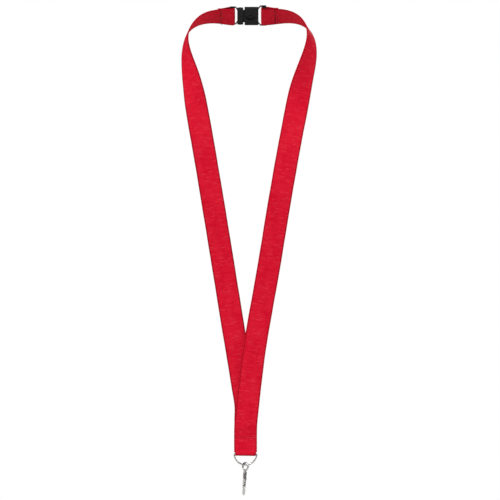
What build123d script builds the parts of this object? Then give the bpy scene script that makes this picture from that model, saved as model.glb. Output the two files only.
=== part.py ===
from build123d import *
import os
from math import atan2, cos, degrees, radians, sin

# A neck lanyard, hanging as it is worn. The origin is the middle of the break-away buckle at
# the nape of the neck. +Z is up, -Y is the side of the chest, +X is the wearer's left.

# Driving dimensions, in millimetres and degrees.
WEB_WIDTH = 20.0
WEB_THICK = 1.0
BUCKLE_LEAN = 44.0        # the buckle's upper edge leans forward by this much
CHEST_Y = -34.0           # plane in which the two front runs meet

# Buckle, in its own flat frame: length along X, width along Z, thickness along Y.
BODY_WIDTH = 19.2
BODY_THICK = 4.0
MOUTH_X = -0.9            # female body, mouth end
BACK_X = 11.4             # female body, closed end
EDGE_R = 0.7              # rounding of both bodies
ROOT_OVERLAP = 0.4        # how far the arms reach into the bodies
SHOULDER_X = (-7.3, -2.0)
SHOULDER_STEP = 1.4       # shoulder is narrower than the female body by this
GRIP_R = 0.6              # rib on each end of the shoulder
FRAME_WIDTH = 22.2
ARM_THICK = 1.4
ARM_WALL = 0.8
ARM_EDGE_R = 0.25
ARM_ROOT = (6.4, 8.2)     # where each arm leaves the body, from the buckle's middle
ARM_FLARE = 1.6           # the arm reaches its full width this far before the bar
BAR_WIDTH = 3.4
BAR_THICK = 1.2
LEFT_BAR_END = -10.4      # edge of each bar that faces the buckle
RIGHT_BAR_END = 14.8
BAR_CLEAR = 0.2           # webbing to bar
TONGUE_END = 8.2
TONGUE_WIDTH = 13.4
TONGUE_THICK = 1.8
TONGUE_CLEAR = 0.25
FINGER_SLIT = (8.0, 0.8)  # length and width of the slits beside the spring finger
FINGER_HALF = 3.1         # middle of each slit from the buckle's middle
BUMP_R = 1.5
BUMP_HEIGHT = 0.4
TONGUE_CHAMFER = 0.4
SLIT_OPEN = 1.4           # the slits run out past the tongue's end
SOCKET_SPARE = 0.8        # from the tongue's end to the back of the socket
WINDOW_LENGTH = 7.6
WINDOW_WIDTH = 5.8
WINDOW_X = 4.4
RIM = 0.45                # sloping rim of the window
RIM_ANGLE = 40

# The webbing only bends about its width and twists about its length. Each row is a distance
# from the bar, then the bend and the twist there in degrees per centimetre.
LEFT_WALK = [(0, -11.5, -8.5), (15, 16, -6.5), (30, 23.5, -9.5), (45, 23.5, -1.5), (60, 11, -10.5),
             (80, -1, -12.5), (100, -2.5, -10), (130, 3.5, -5), (170, 1, 1.5), (200, 1, 1.5)]
RIGHT_WALK = [(0, 12, 1), (15, -11.5, 9.5), (30, -26, 10), (45, -28, 9.5), (60, -12, 12.5),
              (80, -1, 10.5), (100, 10, 11), (130, -2, 1.5), (170, -3.5, -1.5), (200, -3.5, -1.5)]
WALK_START_X = (-12.1, 16.5)
WALK_STEP = 2.5
TAIL_STATIONS = 6         # stations under the sewn-down end
TAIL_GAP = 0.15
TAIL_CLOSING = 3          # stations in which the end comes down on its own run
SECTION_EVERY = 2         # steps between two sections of the solid
NECK_STATIONS = 40        # steps from the bar to the end of the curved neck part
STITCH_STATION = 4        # station of the sewn row across the folded end
ROW_WIDTH = 0.8           # sewn row, measured along the webbing
ROW_MARGIN = 1.5          # from the end of a sewn row to the webbing's edge
THREAD_PROUD = 0.3        # thread beyond the two layers that it joins
TUFT_R = 0.3              # loose end of thread
TUFT_ROUTE = [(0.05, 0.0), (0.75, 0.4), (1.15, -0.5)]  # beyond the edge, along the webbing

# Lower part of the front runs, centre line (x, z). The strips are straight, then bend in
# their own plane where they are sewn one on the other.
LEFT_FRONT = [(-19.4, -221), (-10.2, -278), (-6.6, -299), (-2.1, -327), (0.3, -343), (0.2, -356)]
RIGHT_FRONT = [(20.4, -221), (10.3, -278), (7.1, -299), (3.6, -327), (1.4, -348), (0.2, -360)]
LAYER_OFFSET = 0.7        # middle of each layer from the chest plane

# Tab and ring.
SEAM_Z = -370.0
RUN_GAP = 1.3             # end of the right run above the seam, so that it can swing
TAB_STEP = 0.5            # back layer of the tab ends this much above the front one
WIRE_R = 0.7
BOW_R = 9.9
RING_BAR_Z = -384.8
RING_CORNER_R = 1.2
RING_CLEAR = 0.2
TAB_NARROW = 8.9          # half width of the fold inside the ring's corners
TAB_SHOULDER = 3.5        # above the ring's bar, where the fold begins to narrow
TAB_NECK = 1.3            # above the ring's bar, where it is fully narrow
TAB_SEAM_DROP = 0.7       # sewn row below the top of the tab

# Swivel eye and clasp, in their own frame: origin at the middle of the wire at the bottom of
# the bow, z along the swivel axis, x towards the gate.
HANG = (0.0, CHEST_Y, RING_BAR_Z - BOW_R)
CLASP_LEAN = 3.5
CLASP_YAW = -86.0
EYE_YAW = 45.0
EYE_R = 3.2
EYE_WIRE_R = 0.8
EYE_Z = -1.4
SHANK_R = 0.7
SHANK_CLEAR = 0.05
HEAD_R = 1.15
HEAD_EDGE_R = 0.3
COLLAR_R = 1.05           # collar below the eye, just above the clasp's bridge
COLLAR_HEIGHT = 1.0
BRIDGE_Z = (-5.8, -7.6)
HEAD_Z = (-7.8, -8.7)
WINDOW_Z = (-7.6, -9.7)
CLASP_THICK = 2.8
FOOT_THICK = 1.5          # at the bottom of the hook
WEDGE_SPARE = 0.2         # added where the hook's taper meets the bridge
HOOK_EDGE_R = 0.7
CROWN_HALF = 2.4
CROWN_FOOT_Z = -10.6
CROWN_R = 1.1
CROWN_EDGE_R = 0.4
WINDOW_HALF = 1.4         # opening under the bridge, where the head turns
LOOP_Z = -18.0
LOOP_OUTER = (5.6, 8.8)
LOOP_INNER = (3.4, 6.4)
GATE_OUTER = (5.3, 8.5)
GATE_INNER = (3.7, 6.9)
GATE_THICK = 2.4
GATE_TOP_Z = -12.4
GATE_END_Z = -20.2
TIP_Z = -20.7
PIVOT = (3.0, -12.4)
PIN_R = 0.55
CHEEK_R = 1.5
KNUCKLE_R = 1.15
KNUCKLE_THICK = 1.3
CHEEK_EDGE_R = 0.3
FORK_R = 2.3              # room for the knuckle between the cheeks
FORK_THICK = KNUCKLE_THICK + 0.3
FORK_X = (3.0, 6.0)
FORK_Z = (-9.6, -15.0)
GATE_EDGE_R = 0.45
LEVER_X = (4.4, 7.2)
LEVER_Z = (-14.9, -16.5)
LEVER_THICK = GATE_THICK - 0.4
LEVER_R = 0.7
LEVER_EDGE_R = 0.3
GATE_WEB = [(3.9, -12.2), (5.2, -14.8), (3.4, -15.4), (2.4, -13.4)]
LOBE_X = 0.95             # the lobe that the spring pushes on
LOBE_HALF = 0.45
SPRING_X = 1.55
SPRING_R = (0.45, 0.3)
SPRING_HEIGHT = 0.9
FAR_X = 9.0               # past everything on the gate's side
CUT = 1.0                 # a cutter runs past the metal by this much in all


def rate_at(rates, distance):
    """Bend and twist of the webbing at a distance, between two rows of its walk."""
    for (d0, bend0, twist0), (d1, bend1, twist1) in zip(rates, rates[1:]):
        if distance <= d1:
            share = (distance - d0) / (d1 - d0)
            return bend0 + share * (bend1 - bend0), twist0 + share * (twist1 - twist0)
    return rates[-1][1:]


def buckle_frame(x, y, z):
    """A point of the buckle's flat frame, leaned forward."""
    lean = radians(BUCKLE_LEAN)
    return Vector(x, y * cos(lean) - z * sin(lean), y * sin(lean) + z * cos(lean))


def walk_strip(side, rates):
    """Stations (centre, along, across) of the webbing from its bar to the chest."""
    layer = BAR_THICK / 2 + BAR_CLEAR + WEB_THICK / 2
    centre = buckle_frame(WALK_START_X[side], -layer, 0)
    along = Vector(-1 if side == 0 else 1, 0, 0)
    across = buckle_frame(0, 0, 1)
    stations = [(centre, along, across)]
    distance = 0.0
    while distance < rates[-1][0]:
        bend, twist = rate_at(rates, distance + WALK_STEP / 2)
        turn = along * twist + across * bend
        axis = Axis((0, 0, 0), turn)
        angle = turn.length * WALK_STEP / 10
        turned = along.rotate(axis, angle)
        across = across.rotate(axis, angle)
        centre = centre + (along + turned) * (WALK_STEP / 2)
        along = turned
        distance += WALK_STEP
        stations.append((centre, along, across))
    return stations


def front_stations(last, points, layer_y, end_z, sign):
    """Stations of the lower run, from the end of the walk down to the tab."""
    centres = [last[0]] + [Vector(x, layer_y, z) for x, z in points] + [Vector(0, layer_y, end_z)]
    stations = []
    for i, centre in enumerate(centres[1:], 1):
        if i + 1 < len(centres):
            along = (centres[i + 1] - centres[i - 1]).normalized()
        else:
            along = Vector(0, 0, -1)
        across = Vector(0, sign, 0).cross(along).normalized()
        stations.append((centre, along, across))
    return stations


def section(centre, along, across, width=WEB_WIDTH, thick=WEB_THICK):
    return Plane(origin=centre, x_dir=across, z_dir=along) * Rectangle(width, thick)


def strap_run(side, walked, points, layer_y, end_z):
    """The webbing from its bar down to the tab: the curved neck part, then the front run."""
    lower = front_stations(walked[-1], points, layer_y, end_z, -1 if side == 0 else 1)
    chosen = walked[:TAIL_STATIONS] + walked[TAIL_STATIONS::SECTION_EVERY] + lower
    sections = [section(*station) for station in chosen]
    split = TAIL_STATIONS + (NECK_STATIONS - TAIL_STATIONS) // SECTION_EVERY
    return loft(sections[:split + 1], ruled=True), loft(sections[split:], ruled=True)


def behind(along, across):
    """Direction through the webbing, away from the chest."""
    normal = along.cross(across)
    return normal * -1 if normal.Y < 0 else normal


def strap_fold(side, walked, bar_end):
    """The end of the webbing: round the bar, then back along the outside of its own run."""
    toward = 1 if side == 0 else -1
    inner_r = BAR_THICK / 2 + BAR_CLEAR
    outer_r = inner_r + WEB_THICK
    turn_x = bar_end - toward * BAR_THICK / 2
    leg = abs(turn_x - WALK_START_X[side])
    leg_x = (turn_x + WALK_START_X[side]) / 2
    turn = Cylinder(outer_r, WEB_WIDTH) - Cylinder(inner_r, WEB_WIDTH)
    facing = Pos(toward * outer_r, 0, 0) * Box(2 * outer_r, 4 * outer_r, WEB_WIDTH)
    half = Pos(turn_x, 0, 0) * (turn & facing)
    legs = Part() + [
        Pos(leg_x, s * (inner_r + outer_r) / 2, 0) * Box(leg, WEB_THICK, WEB_WIDTH) for s in (-1, 1)
    ]
    bend = Rot(BUCKLE_LEAN, 0, 0) * (half + legs)
    tail = []
    gap_start = inner_r + outer_r
    gap_end = WEB_THICK + TAIL_GAP
    for i, (centre, along, across) in enumerate(walked[:TAIL_STATIONS]):
        share = min(max(i - 1, 0) / TAIL_CLOSING, 1.0)
        gap = gap_start + (gap_end - gap_start) * share
        tail.append(section(centre + behind(along, across) * gap, along, across))
    return bend + loft(tail, ruled=True)


def fold_stitching(walked):
    """The sewn row across the folded end, through both layers."""
    centre, along, across = walked[STITCH_STATION]
    middle = centre + behind(along, across) * (WEB_THICK / 2)
    foot = Plane(origin=middle - along * (ROW_WIDTH / 2), x_dir=across, z_dir=along)
    row = Rectangle(WEB_WIDTH - 2 * ROW_MARGIN, 2 * WEB_THICK + 2 * THREAD_PROUD)
    return extrude(foot * row, ROW_WIDTH)


def thread_tail(walked):
    """A short end of sewing thread left at the lower edge of the fold."""
    centre, along, across = walked[STITCH_STATION]
    edge = centre - across * (WEB_WIDTH / 2)
    path = Polyline(*[edge - across * out + along * on for out, on in TUFT_ROUTE])
    start = Plane(origin=path @ 0, z_dir=path % 0)
    return sweep(start * Circle(TUFT_R), path=path, transition=Transition.ROUND)


def bar_frame(toward, bar_end, root_x):
    """Bar and flared arms that join it to the body, in the buckle's flat frame."""
    outer = FRAME_WIDTH / 2
    inner = outer - ARM_WALL
    far = bar_end - toward * BAR_WIDTH
    turn = bar_end + toward * ARM_FLARE
    round_off = ARM_WALL / 4
    arms = Part()
    for s in (-1, 1):
        arm = Polygon(
            (root_x, s * ARM_ROOT[0]), (root_x, s * ARM_ROOT[1]),
            (turn + toward * 2 * round_off, s * (outer - round_off)),
            (turn - toward * 3 * round_off, s * outer), (far, s * outer), (far, s * inner),
            (turn, s * inner), align=None,
        )
        arm = Pos(0, ARM_THICK / 2, 0) * (Rot(90, 0, 0) * extrude(arm, ARM_THICK))
        arms += fillet(arm.edges(), ARM_EDGE_R)
    mid = bar_end - toward * BAR_WIDTH / 2
    reach = inner + ARM_WALL / 8
    outline = Plane(origin=(mid, 0, -reach), z_dir=(0, 0, 1)) * SlotOverall(BAR_WIDTH, BAR_THICK)
    return arms + extrude(outline, 2 * reach)


def rounded_box(x0, x1, width):
    body = Pos((x0 + x1) / 2, 0, 0) * Box(x1 - x0, BODY_THICK, width)
    return fillet(body.edges(), EDGE_R)


def buckle_male():
    """Shoulder, strap bar, and the tongue with its spring finger and latch bump."""
    shoulder = rounded_box(*SHOULDER_X, BODY_WIDTH - SHOULDER_STEP)
    for s in (-1, 1):
        rib = Rot(90, 0, 0) * Cylinder(GRIP_R, BODY_THICK - 2 * EDGE_R)
        shoulder += Pos(sum(SHOULDER_X) / 2, 0, s * (BODY_WIDTH - SHOULDER_STEP) / 2) * rib
    start = SHOULDER_X[1] - ROOT_OVERLAP
    tongue = Pos((start + TONGUE_END) / 2, 0, 0) * Box(TONGUE_END - start, TONGUE_THICK, TONGUE_WIDTH)
    tongue = chamfer(tongue.faces().sort_by(Axis.X)[-1].edges(), TONGUE_CHAMFER)
    slit = Box(FINGER_SLIT[0], TONGUE_THICK, FINGER_SLIT[1])
    for s in (-1, 1):
        tongue -= Pos(TONGUE_END + SLIT_OPEN - FINGER_SLIT[0] / 2, 0, s * FINGER_HALF) * slit
    bump = Pos(WINDOW_X, -TONGUE_THICK / 2, 0) * Cylinder(BUMP_R, 2 * BUMP_HEIGHT, rotation=(90, 0, 0))
    bump = fillet(bump.faces().sort_by(Axis.Y)[0].edges(), 0.8 * BUMP_HEIGHT)
    half = shoulder + tongue + bump + bar_frame(1, LEFT_BAR_END, SHOULDER_X[0] + ROOT_OVERLAP)
    return Rot(BUCKLE_LEAN, 0, 0) * half


def buckle_female():
    """Socket with an oval window over the latch bump, and its own strap bar."""
    body = rounded_box(MOUTH_X, BACK_X, BODY_WIDTH)
    depth = TONGUE_END + SOCKET_SPARE - MOUTH_X
    socket = Pos(MOUTH_X + depth / 2, 0, 0) * Box(
        depth, TONGUE_THICK + 2 * TONGUE_CLEAR, TONGUE_WIDTH + 2 * TONGUE_CLEAR
    )
    facing = Plane(origin=(WINDOW_X, 0, 0), x_dir=(1, 0, 0), z_dir=(0, -1, 0))
    window = extrude(facing * SlotOverall(WINDOW_LENGTH, WINDOW_WIDTH), BODY_THICK)
    face = Plane(origin=(WINDOW_X, -BODY_THICK / 2, 0), x_dir=(1, 0, 0), z_dir=(0, 1, 0))
    rim = face * SlotOverall(WINDOW_LENGTH + 2 * RIM, WINDOW_WIDTH + 2 * RIM)
    window += extrude(rim, RIM, taper=RIM_ANGLE)
    channel = Pos((MOUTH_X + WINDOW_X) / 2, -TONGUE_THICK / 2 - TONGUE_CLEAR, 0) * Box(
        WINDOW_X - MOUTH_X, 2 * BUMP_HEIGHT, 2 * BUMP_R + 2 * TONGUE_CLEAR
    )
    body = body - socket - window - channel
    return Rot(BUCKLE_LEAN, 0, 0) * (body + bar_frame(-1, RIGHT_BAR_END, BACK_X - ROOT_OVERLAP))


def strap_tab():
    """The bottom fold of the webbing round the ring's bar."""
    inner_r = WIRE_R + RING_CLEAR
    outer_r = inner_r + WEB_THICK
    top_front = SEAM_Z
    top_back = SEAM_Z + TAB_STEP
    outer_y = LAYER_OFFSET + WEB_THICK / 2
    inner_y = LAYER_OFFSET - WEB_THICK / 2

    def at(y, z):
        return CHEST_Y + y, z

    profile = Plane.YZ * make_face(
        Wire([
            Line(at(-outer_y, top_front), at(-outer_r, RING_BAR_Z)),
            ThreePointArc(at(-outer_r, RING_BAR_Z), at(0, RING_BAR_Z - outer_r), at(outer_r, RING_BAR_Z)),
            Line(at(outer_r, RING_BAR_Z), at(outer_y, top_back)),
            Line(at(outer_y, top_back), at(inner_y, top_back)),
            Line(at(inner_y, top_back), at(inner_r, RING_BAR_Z)),
            ThreePointArc(at(inner_r, RING_BAR_Z), at(0, RING_BAR_Z - inner_r), at(-inner_r, RING_BAR_Z)),
            Line(at(-inner_r, RING_BAR_Z), at(-inner_y, top_front)),
            Line(at(-inner_y, top_front), at(-outer_y, top_front)),
        ])
    )
    band = extrude(profile, WEB_WIDTH / 2, both=True)
    wide = WEB_WIDTH / 2
    shoulder_z = RING_BAR_Z + TAB_SHOULDER
    narrow_z = RING_BAR_Z + TAB_NECK
    low_z = RING_BAR_Z - 2 * outer_r
    outline = Polygon(
        (-wide, top_back + 1), (-wide, shoulder_z), (-TAB_NARROW, narrow_z), (-TAB_NARROW, low_z),
        (TAB_NARROW, low_z), (TAB_NARROW, narrow_z), (wide, shoulder_z), (wide, top_back + 1), align=None,
    )
    keep = Pos(0, CHEST_Y, 0) * extrude(Plane.XZ * outline, 3 * outer_r, both=True)
    return band & keep


def tab_stitching():
    """The cross seam that closes the two layers above the ring."""
    through = 2 * (LAYER_OFFSET + WEB_THICK / 2 + THREAD_PROUD)
    row = Box(WEB_WIDTH - 2 * ROW_MARGIN, through, ROW_WIDTH)
    return Pos(0, CHEST_Y, SEAM_Z - TAB_SEAM_DROP) * row


def ring_point(x, drop):
    """A point of the ring's plane, measured from the middle of its bar."""
    return Vector(x, CHEST_Y, RING_BAR_Z - drop)


def ring_half(side):
    """From the middle of the bar, round the corner and down to the bottom of the bow."""
    corner_x = ((BOW_R - RING_CORNER_R) ** 2 - RING_CORNER_R ** 2) ** 0.5
    meet = degrees(atan2(RING_CORNER_R, corner_x))
    middle = radians((90 - meet) / 2)
    bow_middle = radians((90 + meet) / 2)
    meet = radians(meet)
    corner_end = ring_point(side * BOW_R * cos(meet), BOW_R * sin(meet))
    path = Wire([
        Line(ring_point(0, 0), ring_point(side * corner_x, 0)),
        ThreePointArc(
            ring_point(side * corner_x, 0),
            ring_point(side * (corner_x + RING_CORNER_R * cos(middle)), RING_CORNER_R * (1 - sin(middle))),
            corner_end,
        ),
        ThreePointArc(
            corner_end, ring_point(side * BOW_R * cos(bow_middle), BOW_R * sin(bow_middle)),
            ring_point(0, BOW_R),
        ),
    ])
    return sweep(Plane(origin=path @ 0, z_dir=path % 0) * Circle(WIRE_R), path=path)


def d_ring():
    """Bent wire: a straight bar and a half-round bow."""
    return ring_half(1) + ring_half(-1)


def hang(piece, yaw):
    """From the clasp's own frame to its place below the bow."""
    return Pos(*HANG) * (Rot(0, CLASP_LEAN, 0) * (Rot(0, 0, yaw) * piece))


def swivel_eye():
    """Ring, shank and peened head, one casting."""
    ring = Pos(0, 0, EYE_Z) * (Rot(0, 90, 0) * Torus(EYE_R, EYE_WIRE_R))
    top = EYE_Z - EYE_R
    shank = Pos(0, 0, (top + HEAD_Z[1]) / 2) * Cylinder(SHANK_R, top - HEAD_Z[1])
    collar_z = BRIDGE_Z[0] + SHANK_CLEAR + COLLAR_HEIGHT / 2
    collar = Pos(0, 0, collar_z) * Cylinder(COLLAR_R, COLLAR_HEIGHT)
    head = Pos(0, 0, (HEAD_Z[0] + HEAD_Z[1]) / 2) * Cylinder(HEAD_R, HEAD_Z[0] - HEAD_Z[1])
    head = fillet(head.faces().sort_by(Axis.Z)[0].edges(), HEAD_EDGE_R)
    return hang(ring + shank + collar + head, EYE_YAW)


def oval_plate(radii, thick):
    plane = Plane(origin=(0, 0, LOOP_Z), x_dir=(1, 0, 0), z_dir=(0, -1, 0))
    return extrude(plane * Ellipse(*radii), thick / 2, both=True)


def across_clasp(radius, thick, place=PIVOT):
    """A round boss or hole that runs through the clasp's thickness."""
    return Pos(place[0], 0, place[1]) * (Rot(90, 0, 0) * Cylinder(radius, thick))


def tapered_band(outer, inner, top, foot, edge):
    """An oval ring that is thinner towards the bottom of the clasp, with rounded edges."""
    band = oval_plate(outer, 2 * top) - oval_plate(inner, 2 * top)
    z_top = BRIDGE_Z[0]
    z_foot = LOOP_Z - LOOP_OUTER[1] - CUT
    wedge = Polygon(
        (-top / 2, z_top), (top / 2, z_top), (foot / 2, z_foot), (-foot / 2, z_foot), align=None
    )
    band &= extrude(Plane.YZ * wedge, 2 * LOOP_OUTER[0], both=True)
    return fillet(band.edges(), edge)


def box_between(x0, x1, z0, z1, thick):
    return Pos((x0 + x1) / 2, 0, (z0 + z1) / 2) * Box(abs(x1 - x0), thick, abs(z1 - z0))


def clasp_body():
    """Bridge over the swivel head, then the open hook with two cheeks for the gate."""
    loop = tapered_band(LOOP_OUTER, LOOP_INNER, CLASP_THICK + WEDGE_SPARE, FOOT_THICK, HOOK_EDGE_R)
    loop -= box_between(0, FAR_X, GATE_TOP_Z, TIP_Z, CLASP_THICK + CUT)
    cheeks = across_clasp(CHEEK_R, CLASP_THICK)
    loop += fillet(cheeks.edges().filter_by(GeomType.CIRCLE), CHEEK_EDGE_R)
    crown = box_between(-CROWN_HALF, CROWN_HALF, BRIDGE_Z[0], CROWN_FOOT_Z, CLASP_THICK)
    crown = fillet(crown.edges().filter_by(Axis.Y).group_by(Axis.Z)[-1], CROWN_R)
    crown = fillet(crown.faces().filter_by(Axis.Y).edges(), CROWN_EDGE_R)
    body = loop + crown
    body -= box_between(-WINDOW_HALF, WINDOW_HALF, WINDOW_Z[0], WINDOW_Z[1], CLASP_THICK + CUT)
    bridge_mid = (BRIDGE_Z[0] + BRIDGE_Z[1]) / 2
    bridge_high = BRIDGE_Z[0] - BRIDGE_Z[1] + CUT
    body -= Pos(0, 0, bridge_mid) * Cylinder(SHANK_R + SHANK_CLEAR, bridge_high)
    body -= across_clasp(FORK_R, FORK_THICK)
    body -= box_between(FORK_X[0], FORK_X[1], FORK_Z[0], FORK_Z[1], FORK_THICK)
    body -= across_clasp(PIN_R, CLASP_THICK + CUT)
    return hang(body, CLASP_YAW)


def clasp_gate():
    """Curved gate with a knuckle between the cheeks and a thumb lever."""
    band = tapered_band(GATE_OUTER, GATE_INNER, GATE_THICK, FOOT_THICK, GATE_EDGE_R)
    band &= box_between(0, FAR_X, GATE_TOP_Z, GATE_END_Z, GATE_THICK)
    band -= across_clasp(CHEEK_R + CHEEK_EDGE_R, GATE_THICK + CUT)
    lever = box_between(LEVER_X[0], LEVER_X[1], LEVER_Z[0], LEVER_Z[1], LEVER_THICK)
    lever = fillet(lever.edges().filter_by(Axis.Y).group_by(Axis.X)[-1], LEVER_R)
    lever = fillet(lever.faces().filter_by(Axis.Y).edges(), LEVER_EDGE_R)
    web = extrude(Plane.XZ * Polygon(*GATE_WEB, align=None), KNUCKLE_THICK / 2, both=True)
    lobe = box_between(LOBE_X, PIVOT[0], PIVOT[1] + LOBE_HALF, PIVOT[1] - LOBE_HALF, KNUCKLE_THICK)
    gate = band + lever + web + lobe + across_clasp(KNUCKLE_R, KNUCKLE_THICK)
    gate -= across_clasp(PIN_R + SHANK_CLEAR, GATE_THICK)
    return hang(gate, CLASP_YAW)


def gate_pin():
    return hang(across_clasp(PIN_R, CLASP_THICK), CLASP_YAW)


def gate_spring():
    """Small coil between the gate's lobe and the roof of the slot, as a sleeve of its size."""
    middle = PIVOT[1] + LOBE_HALF + SHANK_CLEAR + SPRING_HEIGHT / 2
    coil = Cylinder(SPRING_R[0], SPRING_HEIGHT) - Cylinder(SPRING_R[1], SPRING_HEIGHT)
    return hang(Pos(SPRING_X, 0, middle) * coil, CLASP_YAW)


def save(name, piece):
    solids = piece.solids()
    shape = solids[0] if len(solids) == 1 else Compound(children=list(solids))
    export_step(shape, f"parts/{name}.step")


os.makedirs("parts", exist_ok=True)
left_walked = walk_strip(0, LEFT_WALK)
right_walked = walk_strip(1, RIGHT_WALK)
left_neck, left_run = strap_run(0, left_walked, LEFT_FRONT, CHEST_Y + LAYER_OFFSET, SEAM_Z + TAB_STEP)
right_neck, right_run = strap_run(1, right_walked, RIGHT_FRONT, CHEST_Y - LAYER_OFFSET, SEAM_Z + RUN_GAP)
save("strap_left_neck", left_neck)
save("strap_right_neck", right_neck)
save("strap_left_run", left_run)
save("strap_right_run", right_run)
save("strap_left_fold", strap_fold(0, left_walked, LEFT_BAR_END))
save("strap_right_fold", strap_fold(1, right_walked, RIGHT_BAR_END))
save("strap_tab_loop", strap_tab())
save("left_fold_stitching", fold_stitching(left_walked))
save("right_fold_stitching", fold_stitching(right_walked))
save("tab_stitching", tab_stitching())
save("thread_tail", thread_tail(left_walked))
save("buckle_male_half", buckle_male())
save("buckle_female_half", buckle_female())
save("d_ring", d_ring())
save("swivel_eye", swivel_eye())
save("clasp_body", clasp_body())
save("clasp_gate", clasp_gate())
save("gate_pin", gate_pin())
save("gate_spring", gate_spring())
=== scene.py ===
import math
import bpy
import numpy as np
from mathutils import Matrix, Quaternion, Vector


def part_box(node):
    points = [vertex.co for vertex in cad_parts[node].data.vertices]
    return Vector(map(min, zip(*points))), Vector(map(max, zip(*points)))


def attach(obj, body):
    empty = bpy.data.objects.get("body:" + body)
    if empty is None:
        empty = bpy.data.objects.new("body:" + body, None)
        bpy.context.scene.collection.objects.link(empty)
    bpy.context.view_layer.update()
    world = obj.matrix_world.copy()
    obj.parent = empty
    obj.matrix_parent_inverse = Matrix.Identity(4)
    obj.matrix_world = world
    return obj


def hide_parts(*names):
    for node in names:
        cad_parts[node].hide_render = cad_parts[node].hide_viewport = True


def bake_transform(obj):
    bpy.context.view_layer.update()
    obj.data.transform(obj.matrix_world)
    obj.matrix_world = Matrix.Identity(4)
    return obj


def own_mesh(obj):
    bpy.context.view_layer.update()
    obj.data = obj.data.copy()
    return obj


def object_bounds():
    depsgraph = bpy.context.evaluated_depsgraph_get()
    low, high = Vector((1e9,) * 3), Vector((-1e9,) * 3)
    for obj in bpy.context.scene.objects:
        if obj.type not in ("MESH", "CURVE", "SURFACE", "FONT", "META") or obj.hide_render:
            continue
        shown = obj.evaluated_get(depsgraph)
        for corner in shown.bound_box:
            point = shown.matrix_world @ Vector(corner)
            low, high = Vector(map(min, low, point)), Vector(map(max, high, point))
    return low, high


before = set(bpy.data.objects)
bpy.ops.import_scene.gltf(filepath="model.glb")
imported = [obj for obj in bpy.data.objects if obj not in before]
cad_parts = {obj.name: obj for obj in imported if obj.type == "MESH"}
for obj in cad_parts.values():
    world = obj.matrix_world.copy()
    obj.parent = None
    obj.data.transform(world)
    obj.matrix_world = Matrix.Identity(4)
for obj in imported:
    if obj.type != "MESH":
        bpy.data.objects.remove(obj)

# ---------------------------------------------------------------------------------------------
# Camera. It looks level at the middle of the hanging lanyard through a long lens, from so far
# that the loop fills the height of the frame.
low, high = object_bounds()
middle = (low + high) / 2
LENS = 800
SENSOR = 36
FRAME_SHARE = 1.0205
camera_data = bpy.data.cameras.new("camera")
camera_data.lens = LENS
camera_data.sensor_width = SENSOR
camera_data.clip_end = 30
camera = bpy.data.objects.new("camera", camera_data)
distance = (high.z - low.z) * FRAME_SHARE * LENS / SENSOR
AIM_ASIDE = 0.0008            # the clasp hangs a little left of the middle of the frame
camera.location = middle + Vector((AIM_ASIDE, -distance, 0))
camera.rotation_euler = (math.pi / 2, 0, 0)
bpy.context.scene.collection.objects.link(camera)
bpy.context.scene.camera = camera
bpy.context.scene.view_settings.view_transform = "Standard"


# ---------------------------------------------------------------------------------------------
# Studio. A pale round floor below the hanging lanyard, a white room that lights it dimly from
# all round, and soft boxes in front of it, above it and at its sides.
def put(tree, kind, sockets=(), **settings):
    """Adds a node. Sockets, by number or name, take a value or another node's output."""
    made = tree.nodes.new(kind)
    for name, value in settings.items():
        setattr(made, name, value)
    pairs = sockets.items() if isinstance(sockets, dict) else enumerate(sockets)
    for key, value in pairs:
        if isinstance(value, bpy.types.NodeSocket):
            tree.links.new(value, made.inputs[key])
        elif value is not None:
            made.inputs[key].default_value = value
    return made


def new_material(name):
    material = bpy.data.materials.new(name)
    material.use_nodes = True
    material.node_tree.nodes.clear()
    return material, material.node_tree


FLOOR_GAP = 0.08
FLOOR_RADIUS = 0.8
FLOOR_SIDES = 96
floor_mesh = bpy.data.meshes.new("floor")
rim_turns = np.linspace(0, 2 * math.pi, FLOOR_SIDES, False)
rim = [(FLOOR_RADIUS * math.cos(a), FLOOR_RADIUS * math.sin(a), 0) for a in rim_turns]
floor_mesh.from_pydata(rim, [], [tuple(range(len(rim)))])
floor = bpy.data.objects.new("floor", floor_mesh)
floor.location = (middle.x, middle.y, low.z - FLOOR_GAP)
bpy.context.scene.collection.objects.link(floor)
floor_paper, tree = new_material("floor_paper")
grain = put(tree, "ShaderNodeTexNoise", {"Scale": 60, "Detail": 4})
tone = put(tree, "ShaderNodeMapRange", {"Value": grain.outputs[0], "To Min": 0.9, "To Max": 0.94})
shader = put(tree, "ShaderNodeBsdfPrincipled", {"Base Color": tone.outputs[0], "Roughness": 0.9})
put(tree, "ShaderNodeOutputMaterial", {"Surface": shader.outputs[0]})
floor_mesh.materials.append(floor_paper)

room = bpy.data.worlds.new("room")
room.use_nodes = True
room.node_tree.nodes.clear()
ROOM_SEEN = 1.0
ROOM_LIGHT = 0.08
rays = put(room.node_tree, "ShaderNodeLightPath")
dim = put(room.node_tree, "ShaderNodeBackground", {"Color": (1, 1, 1, 1), "Strength": ROOM_LIGHT})
seen = put(room.node_tree, "ShaderNodeBackground", {"Color": (1, 1, 1, 1), "Strength": ROOM_SEEN})
both = put(room.node_tree, "ShaderNodeMixShader", [
    rays.outputs["Is Camera Ray"], dim.outputs[0], seen.outputs[0]])
put(room.node_tree, "ShaderNodeOutputWorld", {"Surface": both.outputs[0]})
bpy.context.scene.world = room


def soft_box(name, place, width, height, power):
    """An area light of that size, aimed at the middle of the lanyard."""
    data = bpy.data.lights.new(name, "AREA")
    data.shape = "RECTANGLE"
    data.size = width
    data.size_y = height
    data.energy = power
    light = bpy.data.objects.new(name, data)
    light.location = middle + Vector(place)
    light.rotation_mode = "QUATERNION"
    light.rotation_quaternion = Vector(place).to_track_quat("Z", "Y")
    light.visible_camera = False
    bpy.context.scene.collection.objects.link(light)


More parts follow.
